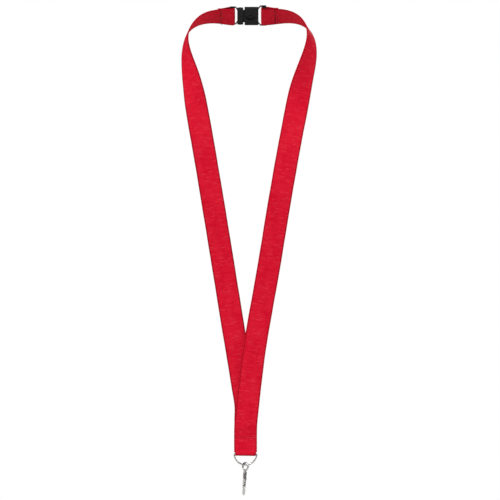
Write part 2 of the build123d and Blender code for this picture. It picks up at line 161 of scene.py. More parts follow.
soft_box("front_box", (-0.6, -1.5, 1.45), 1.0, 0.8, 30)
soft_box("left_box", (-1.4, -0.5, 0.35), 0.4, 1.2, 8)
soft_box("right_box", (1.4, -0.35, 0.5), 0.4, 1.2, 11)
soft_box("top_box", (0, 0.15, 1.3), 1.2, 1.2, 3)
soft_box("back_box", (0.3, 1.5, 0.7), 1.2, 0.9, 12)


# ---------------------------------------------------------------------------------------------
# Left strap: 20 mm polyester webbing, woven with fine cross ribs and a bound edge. It starts
# as a hot-cut end sewn behind itself, goes round the bar of the buckle's male half, over the
# collar and down the chest, and turns round the ring's bar. It ends at the seam above the ring.
MM = 0.001
WEB_WIDTH = 20 * MM
WEB_THICK = 1.0 * MM
CHEST_Y = -34 * MM
BUCKLE_LEAN = math.radians(44)
BAR_RADIUS = 1.3 * MM         # middle of the webbing round the buckle's bars
BAR_TURN_OUT = 0.6 * MM       # centre of the half turn, outward from the edge of the bar
BAR_LEG = 1.1 * MM            # straight webbing from there to where the strap starts to bend
MALE_BAR_X = -10.4 * MM
MALE_START_X = -12.1 * MM
TAIL_LENGTH = 12.5 * MM
TAIL_GAP = 1.15 * MM          # from layer to layer where the end is sewn down
TAIL_OPEN = 1.5 * MM          # beside the bar, where the layers are still apart
TAIL_CLOSING = 8 * MM         # over which they come together
LAYER_OFFSET = 0.7 * MM
SEAM_Z = -370 * MM
RING_BAR_Z = -384.8 * MM
RING_FOLD_R = 1.4 * MM
TAB_NARROW = 9.0 * MM         # half width where it bunches between the ring's corners
NARROW_START = 1.5 * MM       # above the ring's bar
NARROW_OVER = 1.0 * MM
PATH_STEP = 0.5 * MM
RUN_SETTLE = 40 * MM          # over which the strap turns flat to the chest

# Distance along the webbing from its bar, in mm, then bend and twist there in degrees per cm.
LEFT_WALK = [(0, -11.5, -8.5), (15, 16, -6.5), (30, 23.5, -9.5), (45, 23.5, -1.5), (60, 11, -10.5),
             (80, -1, -12.5), (100, -2.5, -10), (130, 3.5, -5), (170, 1, 1.5), (200, 1, 1.5)]
# Middle line of the front run, (x, z) in mm, down to where the two straps lie on each other.
LEFT_FRONT = [(-19.4, -221), (-10.2, -278), (-6.6, -299), (-2.1, -327), (0.3, -343), (0.2, -356)]


def buckle_place(x, y, z):
    """A place given in the flat buckle's own frame, with the buckle's lean."""
    c, s = math.cos(BUCKLE_LEAN), math.sin(BUCKLE_LEAN)
    return Vector((x, y * c - z * s, y * s + z * c))


def bar_loop(toward, bar_x, start_x):
    """Round the buckle's bar: off the sewn-down end, round the bar, and on to the strap."""
    turn_x = bar_x - toward * BAR_TURN_OUT
    leg = [buckle_place(x, BAR_RADIUS, 0) for x in np.linspace(start_x, turn_x, 3)]
    arc = [
        buckle_place(turn_x + toward * BAR_RADIUS * math.sin(a), BAR_RADIUS * math.cos(a), 0)
        for a in np.linspace(0, math.pi, 12)[1:-1]
    ]
    back = [buckle_place(x, -BAR_RADIUS, 0) for x in np.linspace(turn_x, start_x, 3)]
    return leg + arc + back


def walk(start, along, across, rates):
    """Middle line and width direction of webbing that only bends across and twists along."""
    line = [(start, across)]
    marks, bends, twists = (np.array(column, float) for column in zip(*rates))
    steps = int(marks[-1] * MM / PATH_STEP)
    for i in range(steps):
        at = (i + 0.5) * PATH_STEP / MM
        turn = across * np.interp(at, marks, bends) + along * np.interp(at, marks, twists)
        turning = Quaternion(turn.normalized(), math.radians(turn.length * PATH_STEP / MM / 10))
        turned = turning @ along
        across = turning @ across
        start = start + (along + turned) * (PATH_STEP / 2)
        along = turned
        line.append((start, across))
    return line, along


def through(points, first_tangent):
    """A smooth line through the points, at about the walk's step."""
    tangents = [first_tangent]
    for before, after in zip(points, points[2:]):
        tangents.append((after - before).normalized())
    tangents.append((points[-1] - points[-2]).normalized())
    line = []
    for p, q, t, u in zip(points, points[1:], tangents, tangents[1:]):
        span = (q - p).length
        for s in np.linspace(0, 1, max(2, int(span / PATH_STEP)))[1:]:
            line.append(
                p * (2 * s ** 3 - 3 * s ** 2 + 1) + t * span * (s ** 3 - 2 * s ** 2 + s)
                + q * (3 * s ** 2 - 2 * s ** 3) + u * span * (s ** 3 - s ** 2)
            )
    return line


def strap_path(side, bar_x, start_x, rates, front, layer_y, end_z):
    """The strap from its sewn-down end to the seam, as (middle, across) pairs."""
    toward = -side
    across = buckle_place(0, 0, 1)
    walked, along = walk(buckle_place(start_x, -BAR_RADIUS, 0), Vector((side, 0, 0)), across, rates)
    tail = []
    steps = int(TAIL_LENGTH / PATH_STEP)
    for i in range(steps, 0, -1):
        here, width = walked[i]
        outward = (walked[i + 1][0] - walked[i - 1][0]).cross(width).normalized()
        outward = outward if outward.y > 0 else -outward
        share = min(max((i * PATH_STEP - TAIL_OPEN) / TAIL_CLOSING, 0), 1)
        gap = 2 * BAR_RADIUS + (TAIL_GAP - 2 * BAR_RADIUS) * share * share * (3 - 2 * share)
        tail.append((here + outward * gap, width))
    path = tail + [(p, across) for p in bar_loop(toward, bar_x, start_x)] + walked[1:]
    points = [walked[-1][0]] + [Vector((x * MM, layer_y, z * MM)) for x, z in front]
    points.append(Vector((0, layer_y, end_z)))
    run = through(points, along)
    last = walked[-1][1]
    flat = Vector((0, side, 0))
    for i, here in enumerate(run):
        ahead = (run[min(i + 1, len(run) - 1)] - run[max(i - 1, 0)]).normalized()
        share = min((walked[-1][0] - here).length / RUN_SETTLE, 1)
        width = flat.cross(ahead).normalized()
        path.append((here, last.lerp(width, share * share * (3 - 2 * share)).normalized()))
    return path


def ring_loop(across):
    """From the seam down behind, round the ring's bar, and up in front to the seam."""
    path = []
    down = np.linspace(0, 1, 30)[1:]
    for s in down:
        z = SEAM_Z + (RING_BAR_Z - SEAM_Z) * s
        y = CHEST_Y + LAYER_OFFSET + (RING_FOLD_R - LAYER_OFFSET) * s * s
        path.append((Vector((0, y, z)), across))
    for a in np.linspace(0, math.pi, 14)[1:-1]:
        y = CHEST_Y + RING_FOLD_R * math.cos(a)
        path.append((Vector((0, y, RING_BAR_Z - RING_FOLD_R * math.sin(a))), across))
    for s in down[::-1]:
        z = SEAM_Z + (RING_BAR_Z - SEAM_Z) * s
        y = CHEST_Y - LAYER_OFFSET - (RING_FOLD_R - LAYER_OFFSET) * s * s
        path.append((Vector((0, y, z)), across))
    path.append((Vector((0, CHEST_Y - LAYER_OFFSET, SEAM_Z)), across))
    return path


RIB_PITCH = 1.5 * MM          # from one cross rib to the next
RIB_HEIGHT = 0.075 * MM
PARTS_PER_RIB = 5
EDGE_BEAD = 0.55 * MM         # the bound edge, which is rounded
EDGE_SCALLOP = 0.09 * MM      # how far each rib stands out of it
WIDTH_WANDER = 0.06 * MM      # the webbing is never quite even, flat or straight
SWAY = 0.10 * MM
CUP = 0.16 * MM
RIB_LEAN = 0.28 * MM
EASE_IN = 14 * MM             # from its ends, over which it begins to sway
SEAM_DEPTH = 0.16 * MM        # how far a sewn row pulls each face in
SEAM_REACH = 0.5 * MM
FOLD_SHADE_REACH = 0.8 * MM         # of the line of painted shade along the fold at the ring's bar
TAB_SHADE_RISE = 5 * MM          # middle and half height of the band of painted shade above the tab seam
TAB_SHADE_HALF = 4.5 * MM
NAPE_SHADE_DEPTH = 24 * MM          # below the buckle, where painted shade begins to darken the webbing towards the nape
NAPE_SHADE_SPAN = 14 * MM
COLUMNS = [0.97, 0.91, 0.8, 0.62, 0.44, 0.26, 0.09]


def webbing(name, path, seams, seed):
    """A woven strap along a path: ribbed on both faces, rounded at its edges, closed at its
    ends, and pressed in where it is sewn. Its UV map holds across and along, in mm, and a
    point attribute holds painted shade."""
    places = np.array([list(p) for p, _ in path])
    widths = np.array([list(w) for _, w in path])
    gone = np.concatenate([[0], np.cumsum(np.linalg.norm(np.diff(places, axis=0), axis=1))])
    count = int(gone[-1] / RIB_PITCH * PARTS_PER_RIB)
    at = np.linspace(0, gone[-1], count)
    centre = np.stack([np.interp(at, gone, places[:, k]) for k in range(3)], 1)
    across = np.stack([np.interp(at, gone, widths[:, k]) for k in range(3)], 1)
    along = np.gradient(centre, axis=0)
    along /= np.linalg.norm(along, axis=1)[:, None]
    across -= (across * along).sum(1)[:, None] * along
    across /= np.linalg.norm(across, axis=1)[:, None]
    normal = np.cross(along, across)

    random = np.random.RandomState(seed)
    below = (RING_BAR_Z + NARROW_START - centre[:, 2]) / NARROW_OVER
    narrow = np.clip(below, 0, 1)
    half = WEB_WIDTH / 2 + (TAB_NARROW - WEB_WIDTH / 2) * narrow * narrow * (3 - 2 * narrow)
    half = half + WIDTH_WANDER * np.sin(at / (17 * MM) + random.rand() * 6) * np.sin(at / (5.3 * MM))
    sway = SWAY * (np.sin(at / (23 * MM) + random.rand() * 6) + np.sin(at / (9.1 * MM)))
    cup = CUP * np.sin(at / (41 * MM) + random.rand() * 6)
    ease = np.clip(np.minimum(at, at[-1] - at) / EASE_IN, 0, 1) * (1 - narrow)
    ribs = int(count / PARTS_PER_RIB) + 3
    strength = 0.85 + 0.3 * random.rand(ribs)
    lean = RIB_LEAN * np.sin(at / (31 * MM) + random.rand() * 6)
    pressed = sum(np.exp(-(((at - seam) / SEAM_REACH) ** 2)) for seam in seams)
    from_fold = np.abs(centre[:, 2] - (RING_BAR_Z - RING_FOLD_R)) / FOLD_SHADE_REACH
    from_tab_shade = (centre[:, 2] - SEAM_Z - TAB_SHADE_RISE) / TAB_SHADE_HALF
    nape_shade = np.clip((centre[:, 2] + NAPE_SHADE_DEPTH) / NAPE_SHADE_SPAN, 0, 1)
    # Painted shade: darker at the sewn rows, along the fold at the ring's bar, in a band above the tab
    # seam, and towards the nape, where the strap faces down.
    painted_darkening = 0.75 * pressed + np.exp(-from_fold ** 2) + 0.22 * np.exp(-from_tab_shade ** 4) + 0.24 * nape_shade
    painted_shade = np.clip(painted_darkening, 0, 1)

    outline = [1.0] + COLUMNS + [-c for c in COLUMNS[::-1]] + [-1.0]
    ring = [(c, 1) for c in outline] + [(c, -1) for c in outline[-2:0:-1]]
    layers, uvs = [], []
    for c, face in ring:
        inset = max(abs(c) * WEB_WIDTH / 2 - (WEB_WIDTH / 2 - EDGE_BEAD), 0) / EDGE_BEAD
        rounding = math.sqrt(max(1 - inset * inset, 0))
        phase = (at + lean * c) / RIB_PITCH
        rib = np.abs(np.cos(np.pi * phase)) ** 0.8 * strength[np.floor(phase + 0.5).astype(int) % ribs]
        thick = WEB_THICK / 2 - RIB_HEIGHT * 0.5 + RIB_HEIGHT * rib - SEAM_DEPTH * pressed
        lift = (sway * c * 0.5 + cup * (c * c - 0.4)) * ease
        reach = half * c + (EDGE_SCALLOP * (rib - 0.6) * np.sign(c) if abs(c) > 0.95 else 0)
        layers.append(
            centre + across * reach[:, None] + normal * (lift + face * thick * rounding)[:, None]
        )
        uvs.append(np.stack([np.full(count, c * (WEB_WIDTH / 2 / MM) * face), at / MM], 1))
    vertices = np.stack(layers, 1).reshape(-1, 3)
    coordinates = np.stack(uvs, 1).reshape(-1, 2)
    around = len(ring)
    rows = np.arange(count - 1)[:, None] * around
    here = np.arange(around)[None, :]
    after = (here + 1) % around
    quads = np.stack([rows + here, rows + after, rows + around + after, rows + around + here], 2)
    faces = [tuple(int(v) for v in quad) for quad in quads.reshape(-1, 4)]
    top = len(outline)
    for base, turned in ((0, False), ((count - 1) * around, True)):
        for k in range(top - 1):
            low_a, low_b = (around - k) % around, around - k - 1
            face = [base + k, base + low_a, base + low_b, base + k + 1]
            if k == 0:
                face = [base, base + around - 1, base + 1]
            if k == top - 2:
                face = [base + k, base + low_a, base + k + 1]
            faces.append(tuple(face[::-1] if turned else face))
    mesh = bpy.data.meshes.new(name)
    mesh.from_pydata(vertices.tolist(), [], faces)
    # Point attribute that holds the painted shade.
    shade = mesh.attributes.new("painted_shade", "FLOAT", "POINT")
    shade.data.foreach_set("value", np.repeat(painted_shade, around).astype(np.float32))
    layer = mesh.uv_layers.new(name="cloth")
    corner = np.zeros(len(mesh.loops), np.int32)
    mesh.loops.foreach_get("vertex_index", corner)
    layer.data.foreach_set("uv", coordinates[corner].astype(np.float32).ravel())
    mesh.polygons.foreach_set("use_smooth", np.ones(len(mesh.polygons), bool))
    mesh.update()
    strap = bpy.data.objects.new(name, mesh)
    bpy.context.scene.collection.objects.link(strap)
    return strap, float(gone[-1])


def new_group(name, inputs, outputs):
    """A shader group with these named inputs and outputs, as (name, kind, default)."""
    group = bpy.data.node_groups.new(name, "ShaderNodeTree")
    for label, kind, default in inputs:
        group.interface.new_socket(label, in_out="INPUT", socket_type=kind).default_value = default
    for label, kind in outputs:
        group.interface.new_socket(label, in_out="OUTPUT", socket_type=kind)
    return group, group.nodes.new("NodeGroupInput").outputs, group.nodes.new("NodeGroupOutput").inputs


def calculate(tree, operation, *values):
    return put(tree, "ShaderNodeMath", values, operation=operation).outputs[0]


def mix_colours(tree, share, first, second):
    return put(tree, "ShaderNodeMix", {0: share, 6: first, 7: second}, data_type="RGBA").outputs[2]


def cloth_noise(tree, across, along, slice_at, detail):
    """Noise over the cloth, stretched by how fast its across and along run."""
    place = put(tree, "ShaderNodeCombineXYZ", [across, along, slice_at])
    return put(tree, "ShaderNodeTexNoise", {
        "Vector": place.outputs[0], "Scale": 1.0, "Detail": detail}).outputs[0]


# The weave, from the across and along of a strap in mm: how high the yarn stands, how light
# each stretch of rib is, where the bound edges and the grooves are, and the paler flecks of
# painted sheen on the rib tops.
FLOAT = "NodeSocketFloat"
YARN_PITCH = 0.42             # from one warp yarn to the next, in mm
FIBRE_RATE = (9.0, 1.6)       # how fast each noise runs, across and along, for each mm
FIBRE_HEIGHT = 0.35
STREAK_RATE = 0.09
FLECK_RATE = (0.2, 1.7)       # the second is for each rib
CLOUD_RATE = (0.11, 0.035)
STREAK_SHARE = 0.45
CLOUD_SHARE = 0.55
weave, given, wanted = new_group(
    "webbing_weave",
    [("Across", FLOAT, 0.0), ("Along", FLOAT, 0.0),
     ("Rib Pitch", FLOAT, 1.5), ("Yarn Pitch", FLOAT, YARN_PITCH)],
    [("Height", FLOAT), ("Tone", FLOAT), ("Edge", FLOAT), ("Groove", FLOAT), ("Sheen Fleck", FLOAT)],
)
rib_turn = calculate(weave, "DIVIDE", given["Along"], given["Rib Pitch"])
rib_number = calculate(weave, "FLOOR", calculate(weave, "ADD", rib_turn, 0.5))
rib_angle = calculate(weave, "MULTIPLY", rib_turn, math.pi)
rib_wave = calculate(weave, "ABSOLUTE", calculate(weave, "COSINE", rib_angle))
yarn_turn = calculate(weave, "DIVIDE", given["Across"], given["Yarn Pitch"])
stepped = calculate(weave, "ADD", yarn_turn, calculate(weave, "MULTIPLY", rib_number, 0.5))
yarn_angle = calculate(weave, "MULTIPLY", stepped, math.pi)
yarn_wave = calculate(weave, "ABSOLUTE", calculate(weave, "SINE", yarn_angle))
yarn_height = calculate(weave, "MULTIPLY", calculate(weave, "SQRT", yarn_wave), rib_wave)
fibre_across = calculate(weave, "MULTIPLY", given["Across"], FIBRE_RATE[0])
fibre_along = calculate(weave, "MULTIPLY", given["Along"], FIBRE_RATE[1])
fibre = cloth_noise(weave, fibre_across, fibre_along, 0.0, 2.0)
fibre_height = calculate(weave, "MULTIPLY", fibre, FIBRE_HEIGHT)
weave.links.new(calculate(weave, "ADD", yarn_height, fibre_height), wanted["Height"])

streak_across = calculate(weave, "MULTIPLY", given["Across"], STREAK_RATE)
streak = cloth_noise(weave, streak_across, rib_number, 3.7, 1.0)
cloud_across = calculate(weave, "MULTIPLY", given["Across"], CLOUD_RATE[0])
cloud_along = calculate(weave, "MULTIPLY", given["Along"], CLOUD_RATE[1])
cloud = cloth_noise(weave, cloud_across, cloud_along, 9.1, 2.0)
streak_part = calculate(weave, "MULTIPLY", streak, STREAK_SHARE)
cloud_part = calculate(weave, "MULTIPLY", cloud, CLOUD_SHARE)
weave.links.new(calculate(weave, "ADD", streak_part, cloud_part), wanted["Tone"])

# Paler flecks on the rib tops: painted sheen.
fleck_across = calculate(weave, "MULTIPLY", given["Across"], FLECK_RATE[0])
fleck_rib = calculate(weave, "MULTIPLY", rib_number, FLECK_RATE[1])
fleck = cloth_noise(weave, fleck_across, fleck_rib, 21.3, 1.0)
sheen_fleck_there = put(weave, "ShaderNodeMapRange", {
    "Value": fleck, "From Min": 0.52, "From Max": 0.72}, interpolation_type="SMOOTHSTEP")
weave.links.new(calculate(weave, "MULTIPLY", sheen_fleck_there.outputs[0], rib_wave), wanted["Sheen Fleck"])

# Edge: the band along each bound edge, which the material darkens as painted shade.
from_middle = calculate(weave, "ABSOLUTE", given["Across"])
edge = put(weave, "ShaderNodeMapRange", {
    "Value": from_middle, "From Min": 8.5, "From Max": 9.4}, interpolation_type="SMOOTHSTEP")
weave.links.new(edge.outputs[0], wanted["Edge"])
weave.links.new(calculate(weave, "SUBTRACT", 1.0, rib_wave), wanted["Groove"])

# The darkest red is the colour of painted shade, for the grooves, the edges and the strap's shaded
# places.
RED_LIGHT = (0.76, 0.0105, 0.034, 1)
RED_DARK = (0.66, 0.0008, 0.021, 1)
RED_PAINTED_SHADE = (0.29, 0.0004, 0.007, 1)
RED_SHEEN_FLECK = (0.80, 0.045, 0.070, 1)
GROOVE_SHADE = 0.22
SHEEN_FLECK_SHARE = 0.4
EDGE_SHADE = 0.9
PAINTED_SHADE_STRENGTH = 0.8
webbing_cloth, tree = new_material("webbing_cloth")
uv = put(tree, "ShaderNodeUVMap", uv_map="cloth")
parts = put(tree, "ShaderNodeSeparateXYZ", [uv.outputs[0]])
woven = put(tree, "ShaderNodeGroup", {
    "Across": parts.outputs[0], "Along": parts.outputs[1],
    "Rib Pitch": RIB_PITCH / MM, "Yarn Pitch": YARN_PITCH}, node_tree=weave)
spread = put(tree, "ShaderNodeMapRange", {
    "Value": woven.outputs["Tone"], "From Min": 0.33, "From Max": 0.67})
cloth_red = mix_colours(tree, spread.outputs[0], RED_DARK, RED_LIGHT)
# Painted shade in the grooves between the ribs.
groove = calculate(tree, "MULTIPLY", woven.outputs["Groove"], GROOVE_SHADE)
cloth_red = mix_colours(tree, groove, cloth_red, RED_PAINTED_SHADE)
# Painted sheen: paler, whiter flecks on the rib tops.
sheen_fleck_share = calculate(tree, "MULTIPLY", woven.outputs["Sheen Fleck"], SHEEN_FLECK_SHARE)
cloth_red = mix_colours(tree, sheen_fleck_share, cloth_red, RED_SHEEN_FLECK)
# Painted shade along the rounded bound edges.
edge_share = calculate(tree, "MULTIPLY", woven.outputs["Edge"], EDGE_SHADE)
cloth_red = mix_colours(tree, edge_share, cloth_red, RED_PAINTED_SHADE)
# Painted shade from the strap's point attribute, towards the darkest red.
painted_shade = put(tree, "ShaderNodeAttribute", attribute_name="painted_shade")
painted_shade_share = calculate(tree, "MULTIPLY", painted_shade.outputs["Fac"], PAINTED_SHADE_STRENGTH)
cloth_red = mix_colours(tree, painted_shade_share, cloth_red, RED_PAINTED_SHADE)
roughness = put(tree, "ShaderNodeMapRange", {
    "Value": woven.outputs["Tone"], "To Min": 0.60, "To Max": 0.78})
bump = put(tree, "ShaderNodeBump", {
    "Strength": 0.5, "Distance": 0.06 * MM, "Height": woven.outputs["Height"]})
shader = put(tree, "ShaderNodeBsdfPrincipled", {
    "Base Color": cloth_red, "Roughness": roughness.outputs[0], "Normal": bump.outputs[0],
    "Specular IOR Level": 0.07,
    "Sheen Weight": 0.02, "Sheen Roughness": 0.4, "Sheen Tint": (1, 0.35, 0.35, 1)})
put(tree, "ShaderNodeOutputMaterial", {"Surface": shader.outputs[0]})

left_path = strap_path(
    -1, MALE_BAR_X, MALE_START_X, LEFT_WALK, LEFT_FRONT, CHEST_Y + LAYER_OFFSET, SEAM_Z)
left_path += ring_loop(left_path[-1][1])
FOLD_SEAM = 2.6 * MM          # of a sewn row from the cut end
BAR_TRAVEL = math.pi * BAR_RADIUS + 2 * BAR_LEG
left_strap, left_length = webbing(
    "webbing_left", left_path, [FOLD_SEAM, 2 * TAIL_LENGTH + BAR_TRAVEL - FOLD_SEAM], 3)
left_strap.data.materials.append(webbing_cloth)
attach(left_strap, "left_strap")
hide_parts("strap_left_fold", "strap_left_neck", "strap_left_run", "strap_tab_loop")

# ---------------------------------------------------------------------------------------------
# Right strap: the same webbing, from the buckle's female half down in front of the left strap
# to the seam. It is free above the seam.
FEMALE_BAR_X = 14.8 * MM
FEMALE_START_X = 16.5 * MM
RIGHT_WALK = [(0, 12, 1), (15, -11.5, 9.5), (30, -26, 10), (45, -28, 9.5), (60, -12, 12.5),
              (80, -1, 10.5), (100, 10, 11), (130, -2, 1.5), (170, -3.5, -1.5), (200, -3.5, -1.5)]
RIGHT_FRONT = [(20.4, -221), (10.3, -278), (7.1, -299), (3.6, -327), (1.4, -348), (0.2, -360)]
right_path = strap_path(
    1, FEMALE_BAR_X, FEMALE_START_X, RIGHT_WALK, RIGHT_FRONT, CHEST_Y - LAYER_OFFSET, SEAM_Z)
right_strap, right_length = webbing(
    "webbing_right", right_path, [FOLD_SEAM, 2 * TAIL_LENGTH + BAR_TRAVEL - FOLD_SEAM], 8)
right_strap.data.materials.append(webbing_cloth)
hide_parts("strap_right_fold", "strap_right_neck", "strap_right_run")
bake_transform(right_strap)

# ---------------------------------------------------------------------------------------------
# Sewing thread. Two rows of lockstitch cross each folded end beside the buckle, and two more
# close the tab above the ring, on both faces. Each stitch is a short loop of three-ply thread
# that sinks into the webbing where the needle went through.
THREAD_RADIUS = 0.17 * MM
STITCH_LENGTH = 2.1 * MM
STITCH_GAP = 0.25 * MM
ROW_APART = 1.1 * MM
ROW_HALF = 8.6 * MM
ROW_STAGGER = 0.3             # of a stitch, from one row to the other
STITCH_SUNK = 0.20 * MM
STITCH_PROUD = 0.14 * MM
PLIES = 3
PLY_PITCH = 0.9               # of the thread's twist, in mm


def thread_tube(points, radii, vertices, faces, coordinates, sides=8):
    """Adds a tube with closed ends along the points to a mesh that is being made."""
    points = [Vector(p) for p in points]
    first = len(vertices)
    gone = 0.0
    reference = None
    for i, (here, radius) in enumerate(zip(points, radii)):
        ahead = (points[min(i + 1, len(points) - 1)] - points[max(i - 1, 0)]).normalized()
        if reference is None:
            reference = ahead.orthogonal().normalized()
        reference = (reference - ahead * reference.dot(ahead)).normalized()
        other = ahead.cross(reference)
        gone += (here - points[i - 1]).length if i else 0.0
        for k in range(sides):
            a = 2 * math.pi * k / sides
            vertices.append(here + (reference * math.cos(a) + other * math.sin(a)) * radius)
            coordinates.append((k / sides, gone / MM))
    for i in range(len(points) - 1):
        for k in range(sides):
            a, b = first + i * sides + k, first + i * sides + (k + 1) % sides
            faces.append((a, b, b + sides, a + sides))
    faces.append(tuple(first + k for k in range(sides))[::-1])
    faces.append(tuple(first + (len(points) - 1) * sides + k for k in range(sides)))


def thread_piece(name, made):
    """An object from thread tubes, with its way round and along in the UV map."""
    vertices, faces, coordinates = made
    mesh = bpy.data.meshes.new(name)
    mesh.from_pydata(vertices, [], faces)
    layer = mesh.uv_layers.new(name="thread")
    for loop in mesh.loops:
        layer.data[loop.index].uv = coordinates[loop.vertex_index]
    mesh.polygons.foreach_set("use_smooth", np.ones(len(mesh.polygons), bool))
    piece = bpy.data.objects.new(name, mesh)
    bpy.context.scene.collection.objects.link(piece)
    piece.data.materials.append(sewing_thread)
    return piece


def stitch_rows(made, middle_point, across, along, outward, random):
    """Two rows of stitches on one face of the webbing, across it."""
    count = int(2 * ROW_HALF / STITCH_LENGTH)
    pitch = 2 * ROW_HALF / count
    for row in (-0.5, 0.5):
        for n in range(count):
            stagger = ROW_STAGGER * pitch if row > 0 else 0
            begin = -ROW_HALF + n * pitch + stagger - ROW_STAGGER / 2 * pitch
            slant = random.uniform(-0.10, 0.10) * MM
            rise = STITCH_PROUD * random.uniform(0.8, 1.1)
            points, radii = [], []
            for t in np.linspace(0, 1, 9):
                up = -STITCH_SUNK + (rise + STITCH_SUNK) * math.sin(math.pi * t) ** 0.6
                points.append(
                    middle_point + across * (begin + t * (pitch - STITCH_GAP))
                    + along * (row * ROW_APART + slant * (t - 0.5)) + outward * up
                )
                radii.append(THREAD_RADIUS * (0.62 + 0.38 * math.sin(math.pi * t) ** 0.5))
            thread_tube(points, radii, *made)


# The thread is darker between its plies and lighter on their crowns, which is painted shade in the
# grooves of the twist. The noise adds random tone.
THREAD_LIGHT = (0.42, 0.003, 0.018, 1)
THREAD_DARK = (0.20, 0.001, 0.007, 1)
sewing_thread, tree = new_material("sewing_thread")
uv = put(tree, "ShaderNodeUVMap", uv_map="thread")
parts = put(tree, "ShaderNodeSeparateXYZ", [uv.outputs[0]])
twist = calculate(tree, "DIVIDE", parts.outputs[1], PLY_PITCH)
turn = calculate(tree, "ADD", twist, parts.outputs[0])
ply_angle = calculate(tree, "MULTIPLY", turn, PLIES * math.pi)
ply = calculate(tree, "ABSOLUTE", calculate(tree, "SINE", ply_angle))
wobble = put(tree, "ShaderNodeTexNoise", {"Scale": 900, "Detail": 3})
shade = calculate(tree, "ADD", calculate(tree, "MULTIPLY", ply, 0.6),
                  calculate(tree, "MULTIPLY", wobble.outputs[0], 0.5))
thread_red = mix_colours(tree, shade, THREAD_DARK, THREAD_LIGHT)
rough = put(tree, "ShaderNodeMapRange", {"Value": shade, "To Min": 0.7, "To Max": 0.5})
bump = put(tree, "ShaderNodeBump", {"Strength": 0.6, "Distance": 0.05 * MM, "Height": shade})
shader = put(tree, "ShaderNodeBsdfPrincipled", {
    "Base Color": thread_red, "Roughness": rough.outputs[0], "Normal": bump.outputs[0],
    "Specular IOR Level": 0.25,
    "Sheen Weight": 0.1, "Sheen Roughness": 0.4, "Sheen Tint": (1, 0.4, 0.4, 1)})
put(tree, "ShaderNodeOutputMaterial", {"Surface": shader.outputs[0]})

SKIN = WEB_THICK / 2 - 0.10 * MM      # face of the webbing where a row pulls it in
TAIL_STEPS = int(TAIL_LENGTH / PATH_STEP)
SEAM_STEPS = int((TAIL_LENGTH - FOLD_SEAM) / PATH_STEP)
LOOP_POINTS = 16              # of bar_loop: two legs of three, and ten round the bar


def fold_rows(name, path, body, node, seed):
    """The rows through a folded end, on the face of the run and on the face of the end."""
    random = np.random.RandomState(seed)
    end_point, across = path[TAIL_STEPS - SEAM_STEPS]
    run_point = path[TAIL_STEPS + LOOP_POINTS + SEAM_STEPS - 1][0]
    outward = (end_point - run_point).normalized()
    made = ([], [], [])
    along = across.cross(outward).normalized()
    stitch_rows(made, end_point + outward * SKIN, across, along, outward, random)
    stitch_rows(made, run_point - outward * SKIN, across, along, -outward, random)
    piece = thread_piece(name, made)
    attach(piece, body)
    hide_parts(node)
    return piece, along


left_rows, tuft_along = fold_rows(
    "fold_stitches_left", left_path, "left_strap", "left_fold_stitching", 11)
right_rows, _ = fold_rows(
    "fold_stitches_right", right_path, "right_strap", "right_fold_stitching", 12)

TAB_ROW_DROP = 0.7 * MM       # middle of the tab's two rows below the edge of the fold
TAB_ROW_Z = SEAM_Z - TAB_ROW_DROP
made = ([], [], [])
random = np.random.RandomState(13)
for face in (-1, 1):
    row_middle = Vector((0, CHEST_Y + face * (LAYER_OFFSET + SKIN), TAB_ROW_Z))
    outward = Vector((0, face, 0))
    stitch_rows(made, row_middle, Vector((1, 0, 0)), Vector((0, 0, 1)), outward, random)
tab_rows = thread_piece("tab_stitches", made)
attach(tab_rows, "left_strap")
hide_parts("tab_stitching")

# ---------------------------------------------------------------------------------------------
# Thread tail: the frayed end of the sewing thread, which sticks out of the lower edge of the
# left fold where the rows were started. A few loose fibres, each thinner towards its end.
TAIL_FIBRES = 7
FIBRE_RADIUS = 0.085 * MM
FIBRE_POINTS = 10
TUFT_SUNK = 0.1 * MM
tuft_low, tuft_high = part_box("thread_tail")
tuft_size = (tuft_high - tuft_low).length
run_point, across = left_path[TAIL_STEPS + LOOP_POINTS + SEAM_STEPS - 1]
root = run_point - across * (WEB_WIDTH / 2 - TUFT_SUNK)
down = -across
made = ([], [], [])
random = np.random.RandomState(5)
for n in range(TAIL_FIBRES):
    aside = tuft_along * random.uniform(-1, 1) + Vector((0, random.uniform(-0.5, 0.5), 0))
    curl = tuft_along * random.uniform(-1, 1)
    reach = tuft_size * random.uniform(0.55, 0.8)
    start = root + tuft_along * random.uniform(-0.35, 0.35) * MM
    shares = np.linspace(0, 1, FIBRE_POINTS)
    points = [
        start + (down * t + aside * 0.45 * t * t + curl * 0.35 * math.sin(3 * t)) * reach
        for t in shares
    ]
    thread_tube(points, [FIBRE_RADIUS * (1 - 0.6 * t) for t in shares], *made)
thread_end = thread_piece("thread_end", made)
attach(thread_end, "left_strap")
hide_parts("thread_tail")

# ---------------------------------------------------------------------------------------------
# Buckle halves: black acetal, injection moulded. The faces have the fine spark-eroded grain of
# the mould. The edges are rubbed smoother by the neck and the fingers, and a painted edge highlight
# makes them paler.
wear_and_edge_highlight, given, wanted = new_group(
    "wear_and_edge_highlight",
    [("Edge Radius", FLOAT, 0.3), ("Grain Scale", FLOAT, 3000.0), ("Patch Scale", FLOAT, 200.0)],
    [("Edge", FLOAT), ("Grain", FLOAT), ("Patch", FLOAT)],
)
rounded = put(wear_and_edge_highlight, "ShaderNodeBevel", {"Radius": given["Edge Radius"]}, samples=6)
plain = put(wear_and_edge_highlight, "ShaderNodeNewGeometry")
parallel = put(wear_and_edge_highlight, "ShaderNodeVectorMath", [
    rounded.outputs[0], plain.outputs["Normal"]], operation="DOT_PRODUCT")
sharp = put(wear_and_edge_highlight, "ShaderNodeMapRange", {
    "Value": parallel.outputs["Value"], "From Min": 0.995, "From Max": 0.80})
place = put(wear_and_edge_highlight, "ShaderNodeTexCoord")
